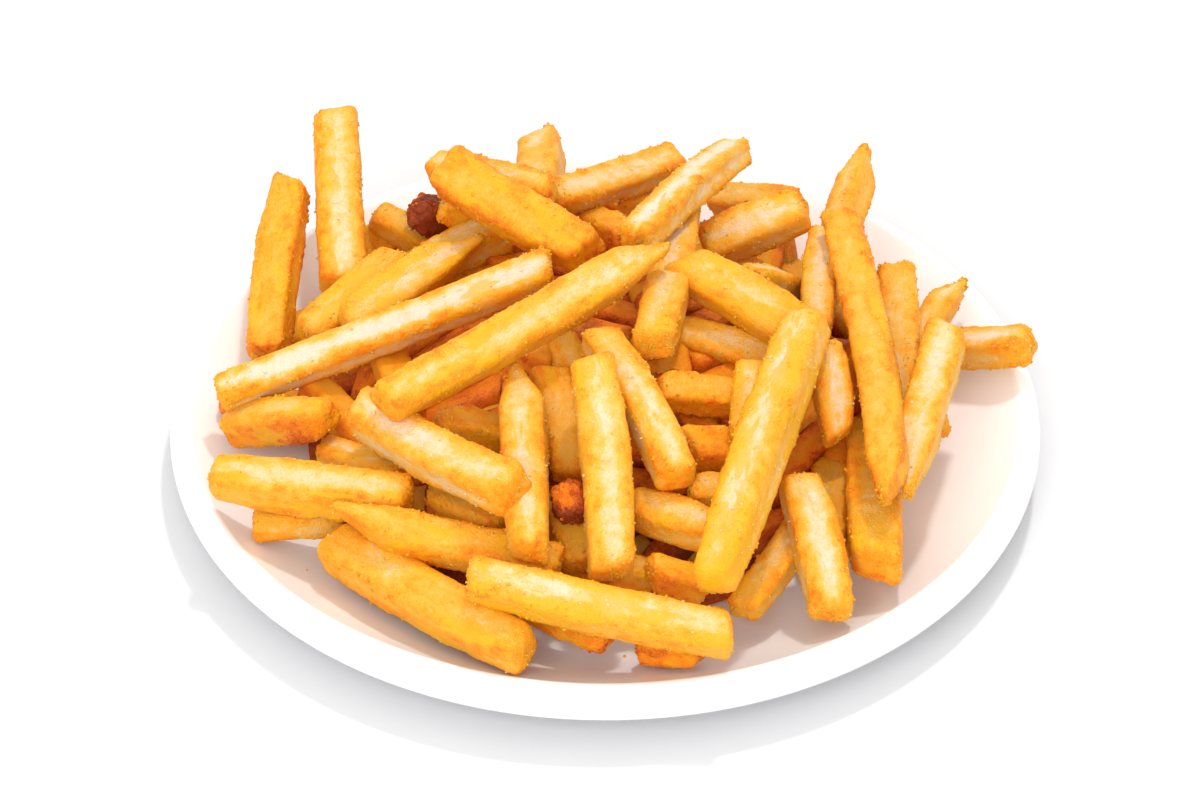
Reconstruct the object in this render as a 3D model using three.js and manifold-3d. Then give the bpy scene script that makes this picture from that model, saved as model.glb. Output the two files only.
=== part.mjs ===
// A portion of french fries heaped on a round white plate with a rolled edge.
// Millimetres, +Z up, origin on the plate's axis at the level that the foot stands on.
import * as THREE from 'three';
import { mergeVertices } from 'three/addons/utils/BufferGeometryUtils.js';
import Module from 'manifold-3d';

const wasm = await Module();
wasm.setup();

// Plate, turned about Z
const plateRadius = 101.5;
const rollRadius = 4.6;
const rollHeight = 12;
const wellRadius = 69;
const wellTop = 6;
const wallThickness = 4;
const wallCurve = 1.7;
const footInner = 55.5;
const footOuter = 61.5;
const footRecess = 2;
const plateSegments = 56;

// Heap: the dome that the fries' axes follow, and the core under them
const heapCentre = [-3, 2];
const heapRadius = 86;
const heapEdge = 13;
const heapRise = 32;
const coreDrop = 13;
const coreSegments = 18;
const plateGap = 0.35;

// Over the back of the rim a fry leans on this steep stop
const stopRadius = 97.5;
const stopSlope = 2.2;

// A fry is a square stick with cut edges and slightly smaller ends
const chamfer = 0.27;
const endShrink = 0.74;
const pointShrink = 0.46;
const endInset = 0.22;
const pointInset = 1.1;
const bentLength = 48;

// How fries settle: how closely two may press, and how strongly each is drawn to the dome
const fryReach = 0.96;
const pressIn = 1.3;
const settleRounds = 80;
const settlePull = 0.05;
const samples = 8;

// Fries that the view doesn't show lie by a seeded rule under the others, and give way to them
const hiddenCount = 28;
const hiddenSide = [9, 10.6];
const hiddenHalf = [20, 32];
const hiddenSpread = 78;
const hiddenDrop = 5;
const hiddenGive = 8;
const hiddenFront = 64;
const seed = 4;

// The fries' ends are given in points of one view, from in front and above
const view = {
  elevation: THREE.MathUtils.degToRad(39),
  distance: 1190,
  focal: 5088,
  centre: [600, 400],
  target: new THREE.Vector3(-1.2, 2.9, 15.6),
};

// One fry: both ends in the view, its side in mm, its roll in degrees, and which ends are pointed
function fry(u1, v1, u2, v2, side, roll = 0, points = '') {
  return { from: [u1, v1], to: [u2, v2], side, roll, points, give: 1 };
}

// From the farthest to the nearest, so that each one lies on those before it
const seenFries = [
  // Along the back rim
  fry(716, 200, 800, 208, 10, 20),
  fry(620, 204, 690, 198, 8.5),
  fry(584, 222, 628, 240, 9.5),
  fry(374, 215, 440, 252, 9.5, 10),
  fry(412, 210, 448, 222, 9),
  fry(441, 206, 524, 244, 9),
  fry(512, 226, 400, 284, 11.5),
  fry(748, 278, 806, 298, 8.5),
  fry(336, 116, 345, 290, 12.2, 0),
  fry(544, 132, 540, 206, 11, 15, 'a'),
  fry(838, 240, 814, 300, 8.5),
  fry(871, 145, 833, 254, 9.3, 30, 'a'),
  fry(824, 236, 817, 330, 8.5),
  // Low on the left
  fry(292, 182, 268, 356, 11.2, 12),
  fry(306, 338, 398, 258, 12, 12),
  fry(322, 452, 405, 478, 9.5),
  fry(234, 425, 326, 418, 11, 8),
  fry(436, 424, 525, 440, 10),
  // Low in the middle, between the crossing ones
  fry(560, 335, 578, 405, 8.5),
  fry(548, 372, 572, 480, 10),
  fry(562, 495, 580, 568, 9.5),
  fry(566, 484, 578, 520, 9, 30),
  fry(664, 330, 780, 364, 10, 25),
  fry(656, 392, 745, 400, 9.5, 20),
  fry(682, 448, 750, 447, 10.5, 25),
  fry(690, 490, 745, 494, 8.5, 20),
  fry(752, 366, 746, 436, 9),
  fry(632, 508, 722, 535, 11, 10),
  fry(606, 572, 654, 576, 8.5),
  fry(650, 572, 705, 588, 9),
  fry(430, 498, 500, 530, 9),
  // On the right
  fry(947, 420, 874, 430, 8),
  fry(938, 350, 1030, 345, 10.6, 10),
  fry(842, 500, 850, 548, 7),
  fry(832, 470, 822, 555, 10.5),
  fry(872, 440, 877, 566, 13.2),
  fry(960, 280, 905, 370, 8, 0, 'a'),
  fry(897, 272, 891, 446, 11, 10),
  fry(947, 333, 899, 494, 10.6, 0, 'b'),
  fry(800, 532, 742, 612, 9.2),
  // Along the front rim
  fry(640, 648, 700, 652, 8),
  fry(520, 598, 612, 634, 10),
  fry(254, 522, 345, 518, 9.5),
  fry(335, 545, 526, 652, 13.8, 20),
  fry(212, 477, 410, 500, 13, 15),
  fry(330, 513, 560, 566, 11.3, 20, 'a'),
  // Crossing on top, back to front
  fry(344, 325, 476, 233, 11.8, 24, 'b'),
  fry(548, 200, 674, 160, 9.8, 25),
  fry(434, 166, 552, 192, 10, 10),
  fry(446, 168, 590, 254, 13, 30),
  fry(703, 249, 805, 208, 12.2, 25),
  fry(684, 210, 652, 346, 10.5, 0),
  fry(737, 150, 634, 240, 10.4, 10),
  fry(680, 264, 798, 332, 12.2, 30),
  fry(523, 364, 529, 554, 10.2, 5, 'a'),
  fry(360, 412, 515, 492, 12.8, 20),
  fry(598, 336, 678, 480, 11.3, 0),
  fry(592, 360, 612, 575, 11.6, 0),
  fry(824, 345, 838, 440, 8.5),
  fry(840, 218, 892, 500, 9.6, 15, 'b'),
  fry(798, 478, 832, 614, 10.8, 0),
  fry(218, 395, 552, 266, 9.9, 25),
  fry(383, 404, 667, 240, 11, 30, 'b'),
  fry(468, 577, 732, 636, 11.3, 25),
  fry(808, 320, 713, 584, 13, 15),
];

// The same fraction between 0 and 1 for the same two numbers
function draw(index, key) {
  const wave = Math.sin((index + seed) * 12.9898 + key * 78.233) * 43758.5453;
  return wave - Math.floor(wave);
}

function mix(range, share) {
  return range[0] + (range[1] - range[0]) * share;
}

// Height of the plate's upper side at a radius
function plateTop(radius) {
  const wallEnd = plateRadius - rollRadius;
  if (radius <= wellRadius) {
    return wellTop;
  }
  if (radius < wallEnd) {
    const share = (radius - wellRadius) / (wallEnd - wellRadius);
    return wellTop + (rollHeight + rollRadius - wellTop) * share ** wallCurve;
  }
  const out = Math.min(radius - wallEnd, rollRadius);
  return rollHeight + Math.sqrt(rollRadius ** 2 - out ** 2);
}

// Height of the dome that the fries' axes follow
function domeTop(x, y) {
  const out = Math.hypot(x - heapCentre[0], y - heapCentre[1]) / heapRadius;
  return heapEdge + heapRise * (1 - out ** 2);
}

// Lowest height of the axis of a fry at a place on the plate
function plateRest(x, y, side) {
  const radius = Math.hypot(x, y);
  const rest = plateTop(radius + (radius < stopRadius - side ? side * 0.3 : 0)) + side / 2;
  const stop = plateTop(stopRadius) + (radius - stopRadius) * stopSlope + side / 2;
  return radius > stopRadius && y > 0 ? Math.max(rest, stop) : rest;
}

function domeRest(x, y, side) {
  return Math.max(plateRest(x, y, side), domeTop(x, y));
}

const forward = new THREE.Vector3(0, Math.cos(view.elevation), -Math.sin(view.elevation));
const upward = new THREE.Vector3(0, Math.sin(view.elevation), Math.cos(view.elevation));
const eye = view.target.clone().addScaledVector(forward, -view.distance);

// The point that the view shows at (u, v), at a depth along the view's axis
function seenPoint(u, v, depth) {
  const across = (u - view.centre[0]) / view.focal;
  const rise = (view.centre[1] - v) / view.focal;
  return eye.clone()
    .addScaledVector(forward, depth)
    .addScaledVector(upward, rise * depth)
    .add(new THREE.Vector3(across * depth, 0, 0));
}

// Where the view shows a point
function seenAt(point) {
  const offset = point.clone().sub(eye);
  const depth = offset.dot(forward);
  const u = view.centre[0] + view.focal * offset.x / depth;
  const v = view.centre[1] - view.focal * offset.dot(upward) / depth;
  return [u, v];
}

// The depth at which the line of sight through (u, v) comes down to a resting height
function depthOnto(rest, u, v, side) {
  const isUnder = (depth) => {
    const point = seenPoint(u, v, depth);
    return point.z < rest(point.x, point.y, side);
  };
  let near = view.distance - 120;
  let far = near;
  while (far < view.distance + 160 && !isUnder(far)) {
    near = far;
    far += 2;
  }
  for (let halving = 0; halving < 12; halving += 1) {
    const middle = (near + far) / 2;
    if (isUnder(middle)) {
      far = middle;
    } else {
      near = middle;
    }
  }
  return near;
}

// A fry that the view doesn't show, on a spiral round the heap and across its slope
function hiddenFry(index) {
  const share = (index + 0.5) / hiddenCount;
  const angle = 2.4 * index;
  const spread = hiddenSpread * Math.sqrt(1 - share);
  const x = heapCentre[0] + spread * Math.cos(angle);
  const y = heapCentre[1] + spread * Math.sin(angle);
  const side = mix(hiddenSide, draw(index, 1));
  const half = mix(hiddenHalf, draw(index, 2));
  const turn = angle + Math.PI / 2 + (draw(index, 3) - 0.5) * 2.4;
  const ends = [-half, half].map((reach) => {
    const endX = x + reach * Math.cos(turn);
    const endY = y + reach * Math.sin(turn);
    const limit = endY < 0 ? hiddenFront : stopRadius - 8;
    const fit = Math.min(1, limit / Math.hypot(endX, endY));
    const height = Math.max(
      plateRest(endX * fit, endY * fit, side),
      domeTop(endX * fit, endY * fit) - hiddenDrop,
    );
    return seenAt(new THREE.Vector3(endX * fit, endY * fit, height));
  });
  return { ...fry(...ends[0], ...ends[1], side, draw(index, 4) * 40 - 20), give: hiddenGive };
}

// Each fry starts on the dome, and keeps the depths at which it would touch the plate
function placed(row) {
  const onDome = [row.from, row.to].map(([u, v]) => depthOnto(domeRest, u, v, row.side));
  const onPlate = [];
  for (let i = 0; i <= samples; i += 1) {
    const share = i / samples;
    const u = mix([row.from[0], row.to[0]], share);
    const v = mix([row.from[1], row.to[1]], share);
    onPlate.push({ share, depth: depthOnto(plateRest, u, v, row.side) });
  }
  return { ...row, onDome, onPlate, depths: [...onDome] };
}

// Where two fries cross in the view, and how far apart their axes must stay in depth
function contactsOf(rows) {
  const contacts = [];
  const pointSize = view.distance / view.focal;
  rows.forEach((upper, order) => {
    for (const lower of rows.slice(0, order)) {
      const du = lower.to[0] - lower.from[0];
      const dv = lower.to[1] - lower.from[1];
      const reach = (upper.side + lower.side) / 2 * fryReach;
      for (let i = 0; i <= samples; i += 1) {
        const share = i / samples;
        const u = mix([upper.from[0], upper.to[0]], share) - lower.from[0];
        const v = mix([upper.from[1], upper.to[1]], share) - lower.from[1];
        const along = (u * du + v * dv) / (du * du + dv * dv);
        const lowerShare = THREE.MathUtils.clamp(along, 0, 1);
        const apart = Math.hypot(u - du * lowerShare, v - dv * lowerShare) * pointSize;
        if (apart < reach) {
          const lift = Math.max(0, Math.sqrt(reach ** 2 - apart ** 2) - pressIn);
          contacts.push({ upper, lower, share, lowerShare, lift });
        }
      }
    }
  });
  return contacts;
}

// Moves a fry by the least amount that shifts the point at this share of its length
function shift(row, share, amount) {
  row.depths[0] += amount * (1 - share);
  row.depths[1] += amount * share;
}

function leverage(share) {
  return (1 - share) ** 2 + share ** 2;
}

// Eases the fries apart where they cut each other or the plate, and draws them to the dome
function settle(rows) {
  const contacts = contactsOf(rows);
  for (let round = 0; round < settleRounds; round += 1) {
    const pull = settlePull * (1 - round / settleRounds);
    for (const row of rows) {
      row.depths[0] += pull * (row.onDome[0] - row.depths[0]);
      row.depths[1] += pull * (row.onDome[1] - row.depths[1]);
    }
    for (const { upper, lower, share, lowerShare, lift } of contacts) {
      const over = mix(upper.depths, share) - mix(lower.depths, lowerShare) + lift;
      if (over > 0) {
        const step = over / (upper.give * leverage(share) + lower.give * leverage(lowerShare));
        shift(upper, share, -step * upper.give);
        shift(lower, lowerShare, step * lower.give);
      }
    }
    for (const row of rows) {
      for (const { share, depth } of row.onPlate) {
        const over = mix(row.depths, share) - depth;
        if (over > 0) {
          shift(row, share, -over / leverage(share));
        }
      }
    }
  }
}

// A closed stick: rings of eight points from one end to the other, and a flat cap on each
function stick(row, index) {
  const { side, roll, points } = row;
  const start = seenPoint(...row.from, row.depths[0]);
  const end = seenPoint(...row.to, row.depths[1]);
  const axis = end.clone().sub(start);
  const length = axis.length();
  axis.normalize();
  const level = new THREE.Vector3().crossVectors(new THREE.Vector3(0, 0, 1), axis).normalize();
  const raised = new THREE.Vector3().crossVectors(axis, level);
  const turn = THREE.MathUtils.degToRad(roll);
  const first = level.clone().multiplyScalar(Math.cos(turn)).addScaledVector(raised, Math.sin(turn));
  const second = raised.clone().multiplyScalar(Math.cos(turn)).addScaledVector(level, -Math.sin(turn));
  const half = side / 2;
  const flat = half * (1 - 2 * chamfer);
  const outline = [
    [half, -flat], [half, flat], [flat, half], [-flat, half],
    [-half, flat], [-half, -flat], [-flat, -half], [flat, -half],
  ];
  const slants = [(draw(index, 5) - 0.5) * 0.7, (draw(index, 6) - 0.5) * 0.7];
  const bow = (draw(index, 7) - 0.5) * 0.04 * length;
  const ends = ['a', 'b'].map((name) => (points.includes(name)
    ? { scale: pointShrink, inset: side * pointInset }
    : { scale: endShrink, inset: side * endInset }));
  const rings = [
    { at: 0, scale: ends[0].scale, slant: slants[0] },
    { at: ends[0].inset, scale: 1, slant: slants[0] },
    { at: length - ends[1].inset, scale: 1, slant: slants[1] },
    { at: length, scale: ends[1].scale, slant: slants[1] },
  ];
  if (length > bentLength) {
    rings.splice(2, 0, { at: length / 2, scale: 0.96 + draw(index, 8) * 0.1, slant: 0 });
  }
  const positions = [];
  for (const ring of rings) {
    const rise = bow * Math.sin(Math.PI * ring.at / length);
    for (const [a, b] of outline) {
      const point = start.clone()
        .addScaledVector(axis, ring.at + ring.slant * a * ring.scale)
        .addScaledVector(first, a * ring.scale + rise)
        .addScaledVector(second, b * ring.scale);
      positions.push(point.x, point.y, point.z);
    }
  }
  const sides = outline.length;
  const faces = [];
  for (let r = 0; r < rings.length - 1; r += 1) {
    for (let k = 0; k < sides; k += 1) {
      const next = (k + 1) % sides;
      faces.push(r * sides + k, r * sides + next, (r + 1) * sides + next);
      faces.push(r * sides + k, (r + 1) * sides + next, (r + 1) * sides + k);
    }
  }
  const last = (rings.length - 1) * sides;
  for (let k = 1; k < sides - 1; k += 1) {
    faces.push(0, k + 1, k);
    faces.push(last, last + k, last + k + 1);
  }
  const geometry = new THREE.BufferGeometry();
  geometry.setAttribute('position', new THREE.Float32BufferAttribute(positions, 3));
  geometry.setIndex(faces);
  return geometry;
}

function solidOf(geometry) {
  const bare = geometry.clone();
  bare.deleteAttribute('normal');
  bare.deleteAttribute('uv');
  const merged = mergeVertices(bare, 1e-4);
  return new wasm.Manifold(new wasm.Mesh({
    numProp: 3,
    vertProperties: new Float32Array(merged.attributes.position.array),
    triVerts: new Uint32Array(merged.index.array),
  }));
}

function geometryOf(solid) {
  const mesh = solid.getMesh();
  const geometry = new THREE.BufferGeometry();
  geometry.setAttribute('position', new THREE.BufferAttribute(mesh.vertProperties, 3));
  geometry.setIndex(new THREE.BufferAttribute(mesh.triVerts, 1));
  geometry.computeVertexNormals();
  return geometry;
}

// A lathe turns about Y, so it is laid over to turn about Z
function turned(profile, segments) {
  const geometry = new THREE.LatheGeometry(profile.map(([r, z]) => new THREE.Vector2(r, z)), segments);
  geometry.rotateX(Math.PI / 2);
  return geometry;
}

// Points round the roll, from its crown outwards and down
function rollArc(radius, sweep, steps) {
  const arc = [];
  for (let i = 0; i <= steps; i += 1) {
    const turn = Math.PI / 2 - sweep * i / steps;
    arc.push([plateRadius - rollRadius + radius * Math.cos(turn), rollHeight + radius * Math.sin(turn)]);
  }
  return arc;
}

// The plate's section, from the axis underneath, out over the foot to the roll, and back on top
function plateProfile() {
  const wallEnd = plateRadius - rollRadius;
  const under = [
    [0, footRecess], [footInner - 1, footRecess], [footInner, 0], [footOuter, 0],
    [footOuter + 1.5, footRecess],
  ];
  const over = [[0, wellTop], [wellRadius, wellTop]];
  const steps = 6;
  for (let i = 1; i < steps; i += 1) {
    const radius = mix([wellRadius, wallEnd], i / steps);
    over.push([radius, plateTop(radius)]);
    if (i < steps - 1) {
      under.push([radius, plateTop(radius) - wallThickness]);
    }
  }
  return [...under, ...rollArc(rollRadius, Math.PI * 1.15, 8).reverse(), ...over.reverse()];
}

// The space that the heap keeps clear of: the plate with a small gap over it, and all below
function plateClearance() {
  const wallEnd = plateRadius - rollRadius;
  const gap = plateGap * 1.4;
  const profile = [[0, wellTop + plateGap], [wellRadius, wellTop + plateGap]];
  const steps = 6;
  for (let i = 1; i < steps; i += 1) {
    const radius = mix([wellRadius, wallEnd], i / steps);
    profile.push([radius, plateTop(radius) + gap]);
  }
  profile.push(...rollArc(rollRadius + gap, Math.PI / 2, 5));
  profile.push([plateRadius + gap, -5], [0, -5]);
  return profile.reverse();
}

// The core follows the dome below the fries, down into the well
function coreProfile() {
  const edge = heapRadius * Math.sqrt(1 - (wellTop + coreDrop - heapEdge) / heapRise);
  const profile = [[0, wellTop - 2], [edge, wellTop - 2]];
  const steps = 5;
  for (let i = steps; i >= 0; i -= 1) {
    const radius = edge * i / steps;
    profile.push([radius, domeTop(heapCentre[0] + radius, heapCentre[1]) - coreDrop]);
  }
  return profile;
}

function plate() {
  const material = new THREE.MeshStandardMaterial({ color: 0xf6f6f4, roughness: 0.16, metalness: 0 });
  const mesh = new THREE.Mesh(turned(plateProfile(), plateSegments), material);
  mesh.name = 'plate';
  return mesh;
}

// Core and fries fused into one body, clear of the plate
function friesHeap() {
  const hidden = Array.from({ length: hiddenCount }, (_, index) => hiddenFry(index));
  const rows = [...hidden, ...seenFries].map(placed);
  settle(rows);
  const core = turned(coreProfile(), coreSegments);
  core.translate(heapCentre[0], heapCentre[1], 0);
  let heap = solidOf(core);
  rows.forEach((row, index) => {
    heap = heap.add(solidOf(stick(row, index)));
  });
  heap = heap.subtract(solidOf(turned(plateClearance(), plateSegments)));
  const largest = heap.decompose().sort((a, b) => b.volume() - a.volume())[0];
  const material = new THREE.MeshStandardMaterial({ color: 0xf2b84b, roughness: 0.55, metalness: 0 });
  const mesh = new THREE.Mesh(geometryOf(largest), material);
  mesh.name = 'fries_heap';
  return mesh;
}

const portion = new THREE.Group();
portion.name = 'french_fries_portion';
portion.add(plate(), friesHeap());

export default portion;
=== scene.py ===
"""A portion of french fries heaped on a round white plate: the looks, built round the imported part.

Metres, +Z up, in the part's own frame: the origin is on the plate's axis, at the level it stands on.
"""

import math
from dataclasses import dataclass, field

import bpy
import numpy as np
from mathutils import Matrix, Vector


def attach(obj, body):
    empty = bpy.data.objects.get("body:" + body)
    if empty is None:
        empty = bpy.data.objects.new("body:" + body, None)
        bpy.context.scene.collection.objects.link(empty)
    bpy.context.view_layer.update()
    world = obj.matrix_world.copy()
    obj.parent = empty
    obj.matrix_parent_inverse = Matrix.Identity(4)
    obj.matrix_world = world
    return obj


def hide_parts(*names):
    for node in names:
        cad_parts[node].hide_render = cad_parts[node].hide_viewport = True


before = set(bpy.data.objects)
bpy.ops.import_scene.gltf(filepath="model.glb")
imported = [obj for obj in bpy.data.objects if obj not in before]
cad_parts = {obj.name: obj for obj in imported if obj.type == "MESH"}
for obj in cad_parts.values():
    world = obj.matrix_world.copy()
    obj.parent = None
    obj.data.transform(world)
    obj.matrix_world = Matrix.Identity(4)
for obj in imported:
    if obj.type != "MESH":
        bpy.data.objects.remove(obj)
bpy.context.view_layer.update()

MM = 0.001

# Plate, turned about Z
PLATE_RADIUS = 101.5 * MM
ROLL_RADIUS = 4.6 * MM
ROLL_HEIGHT = 12 * MM
WELL_RADIUS = 69 * MM
WELL_TOP = 6 * MM
WALL_THICKNESS = 4 * MM
WALL_CURVE = 1.7
WALL_END = PLATE_RADIUS - ROLL_RADIUS
FOOT_INNER = 55.5 * MM
FOOT_OUTER = 61.5 * MM
FOOT_RECESS = 2 * MM
FOOT_SPREAD = 0.2 * MM
FOOT_ROUNDING = 0.9 * MM
ROLL_HALF_TURNS = 1.15
FOOT_STEPS = 4
WALL_STEPS = 28
ROLL_STEPS = 24
PLATE_SEGMENTS = 256

# Heap: the dome that the fries' axes follow, and the narrower core under them
HEAP_CENTRE = (-3 * MM, 2 * MM)
HEAP_RADIUS = 86 * MM
HEAP_EDGE = 13 * MM
HEAP_RISE = 32 * MM
CORE_DROP = 13 * MM
CORE_GAP = 0.4 * MM
CORE_INSET = 0.86
CORE_STEPS = 26
CORE_SEGMENTS = 120
CORE_LUMPS = ((9, 2.4 * MM), (3.5, 1.2 * MM))

# Over the back of the rim a fry leans on this steep stop
STOP_RADIUS = 97.5 * MM
STOP_SLOPE = 2.2

# How fries settle: how closely two may press, and how strongly each is drawn to the dome
FRY_REACH = 0.96
PRESS_IN = 1.3 * MM
SETTLE_ROUNDS = 80
SETTLE_PULL = 0.05
SAMPLES = 8

# Seeded fries: what their rule starts from, the turn to the next on a spiral, and their rolls' spread
SEED = 4
SPIRAL_TURN = 2.4
ROLL_SPREAD = 40

# Fries that the view doesn't show lie by a seeded rule under the others, and give way to them
HIDDEN_COUNT = 28
HIDDEN_SIDE = (9 * MM, 10.6 * MM)
HIDDEN_HALF = (20 * MM, 32 * MM)
HIDDEN_SPREAD = 78 * MM
HIDDEN_DROP = 5 * MM
HIDDEN_GIVE = 8
HIDDEN_FRONT = 64 * MM
HIDDEN_BACK = STOP_RADIUS - 8 * MM
HIDDEN_SKEW = 2.4

# The fries bedded in the core's surface, so that little bare core shows between the others
BURIED_COUNT = 58
BURIED_INDEX = 200
BURIED_SIDE = (8.8 * MM, 10 * MM)
BURIED_HALF = (15 * MM, 24 * MM)
BURIED_SPREAD = 65 * MM
BURIED_LIFT = 0.8 * MM
BURIED_FRONT = 63 * MM
BURIED_BACK = 72 * MM

# The view that the fries' ends are given in, and that the camera takes
IMAGE_WIDTH = 1200
IMAGE_CENTRE = (600, 400)
VIEW_ELEVATION = math.radians(39)
VIEW_DISTANCE = 1190 * MM
VIEW_FOCAL = 5088
VIEW_TARGET = np.array((-1.2, 2.9, 15.6)) * MM
VIEW_FORWARD = np.array((0, math.cos(VIEW_ELEVATION), -math.sin(VIEW_ELEVATION)))
VIEW_UPWARD = np.array((0, math.sin(VIEW_ELEVATION), math.cos(VIEW_ELEVATION)))
VIEW_RIGHT = np.array((1.0, 0, 0))
VIEW_EYE = VIEW_TARGET - VIEW_FORWARD * VIEW_DISTANCE

# How fine a fry's mesh is: points round it, the step between its rings, and the rings of each end
FULL_MESH = (68, 0.65 * MM, 11)
COARSE_MESHES = {
    "under": (28, 2 * MM, 11),
    "buried": (20, 3.5 * MM, 5),
}

# A fry's section: its share of the row's side, how square, squashed and sunken it is, and its taper
FRY_SLIM = 0.99
SQUARENESS = (3.8, 5.6)
SQUASH_LEVEL = (0.97, 1.03)
SQUASH_RAISED = (0.94, 1.03)
SUNKEN = 0.07
SWELL = (-0.04, 0.06)
TAPER = 0.08

# A fry's ends: how they round off, narrow, and are cut to a point
END_ROUNDING = 0.25
END_NARROWING = 0.17
NARROWING_REACH = 2.2
POINT_REACH = 1.5
POINT_NARROWING = (0.74, 0.5)
POINT_SHIFT = 0.36

# How slanted a fry's cuts are, and how it bows and twists
CUT_SLANT = 0.7
EXTRA_SLANT = 0.3
BOW = 0.04
SECOND_BOW = 0.018
TWIST = 0.1

# The crust's relief, in millimetres: the size of its waves, and how deep each kind is
SLOW_SIZE = 7.5
MIDDLE_SIZE = 3.1
FINE_SIZE = 1.15
PATCH_SIZE = 5.0
SLOW_DEPTH = 0.26
MIDDLE_DEPTH = 0.17
FINE_DEPTH = 0.1
CRUST_DEPTH = 0.14
GRAIN_DEPTH = 0.42
COARSE_RELIEF = 0.6

# Crumbs that cling to the crust, most on the edges and ends: how many, how large, how lumpy, how brown
CRUMBS_EACH_MM = 4.1
CRUMB_PLENTY = (0.6, 1.3)
CRUMB_SIZE = 0.38 * MM
CRUMB_SIZES = (0.5, 1.3)
CRUMB_LUMPS = (0.75, 1.2)
CRUMB_SQUASH = (1.15, 0.9, 0.7)
CRUMB_BROWN = (-0.2, 0.03)

# Crumbs that have dropped on the plate
LOOSE_SEED = 77
LOOSE_CRUMBS = 14
LOOSE_RADII = (76 * MM, 88 * MM)
LOOSE_BROWN = (0.4, 0.7)

# How brown a fry's edges and ends are at least, and how much darker its sides are painted than its top,
# as painted shade from the light above
EDGE_BROWN = 0.55
SIDE_PAINTED_SHADE = 0.17

# How browning differs between a fry's faces, between fries, and between a fry's ends
FACE_BROWN = (-0.08, 0.09)
FRY_BROWN = 0.05
LENGTH_BROWN = 0.1

# What each fry's own random choices start from
FRY_SEED = 1000


@dataclass
class Look:
    """How brown a kind of fry is (for the buried fries and the core, darker still as painted shade), how
    much oil it has soaked up, and how crumbly and mottled it is.
    """
    brown: float
    oil: float
    crumbly: float = 1.0
    mottled: float = 1.0


LOOKS = {
    "cream": Look(0.05, 0.2),
    "pale": Look(0.15, 0.3),
    "golden": Look(0.26, 0.45),
    "yellow": Look(0.24, 0.85),
    "orange": Look(0.4, 0.5, 1.1),
    "brown": Look(0.52, 0.3, 1.2),
    "dark": Look(0.79, 0.0, 2.6),
    "under": Look(0.46, 0.3, 1.0, 0.8),
    # Painted shade: the buried fries and the core are darker than fries in the open, so the gaps between
    # the fries read as deep shade
    "buried": Look(0.7, 0.1, 1.0, 0.7),
    "core": Look(0.9, 0.0, 1.0, 0.35),
}


@dataclass
class Fry:
    """Both ends in the view, the side in metres, the roll in degrees, and which ends are pointed."""
    start: tuple
    end: tuple
    side: float
    roll: float
    points: str
    look: str
    give: float = 1.0
    index: int = 0
    depths: list = field(default_factory=list)


def fry(u1, v1, u2, v2, side, look, roll=0, points=""):
    return Fry((u1, v1), (u2, v2), side * MM, roll, points, look)


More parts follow.
